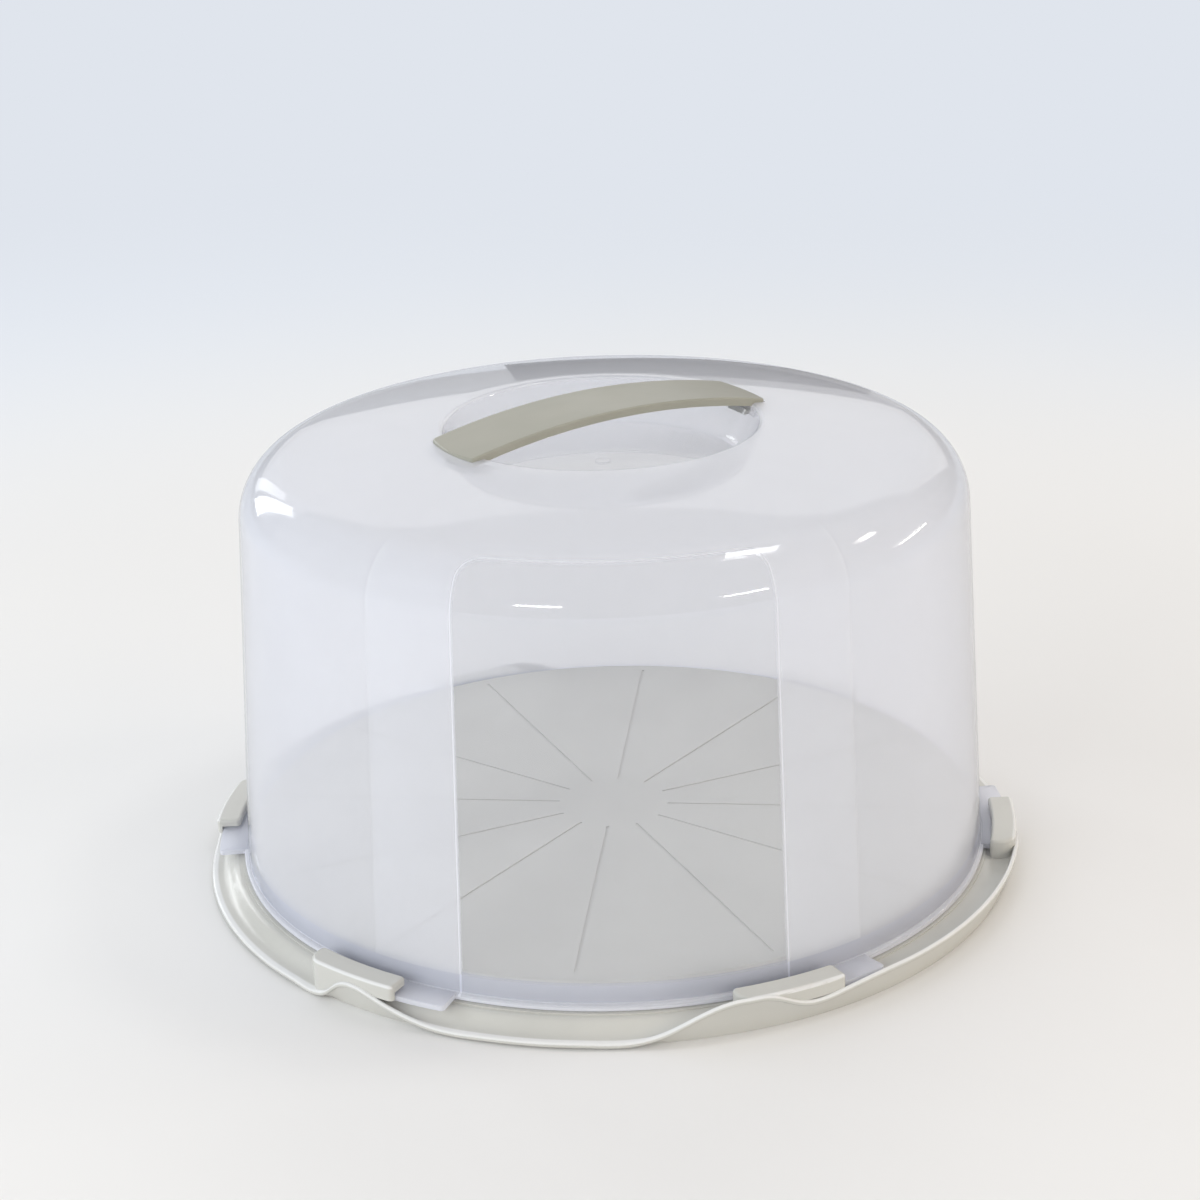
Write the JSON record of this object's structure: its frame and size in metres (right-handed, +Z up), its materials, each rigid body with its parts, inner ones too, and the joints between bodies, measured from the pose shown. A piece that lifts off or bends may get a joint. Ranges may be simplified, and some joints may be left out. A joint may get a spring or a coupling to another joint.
{
  "type": "cake carrier",
  "caption": "Round cake carrier: a shallow tray with a wavy rim, a tall translucent dome that twist-locks under its hooks, and an arched carry handle clipped across the dome's dish.",
  "frame": {"origin": "centre of the ring the tray stands on, on the surface it stands on", "axes": "+Z up along the carrier's axis, -Y towards the dome's clear front panel, +X to the right seen from the front"},
  "size_m": [0.3268, 0.3268, 0.1879],
  "materials": {
    "tray_plastic": "semi-gloss moulded polypropylene, warm grey",
    "dome_plastic": "translucent moulded polypropylene, clear front panel between frosted bands",
    "handle_plastic": "semi-gloss moulded polypropylene, warm grey"
  },
  "bodies": {
    "base": {"base_tray": "tray_plastic"},
    "lid": {"dome_lid": "dome_plastic", "carry_handle": "handle_plastic"}
  },
  "joints": [
    {"name": "lid_turn", "type": "hinge", "parent": "base", "child": "lid", "pos_m": [0, 0, 0], "axis": [0, 0, 1], "range_deg": [0, 18]}
  ]
}
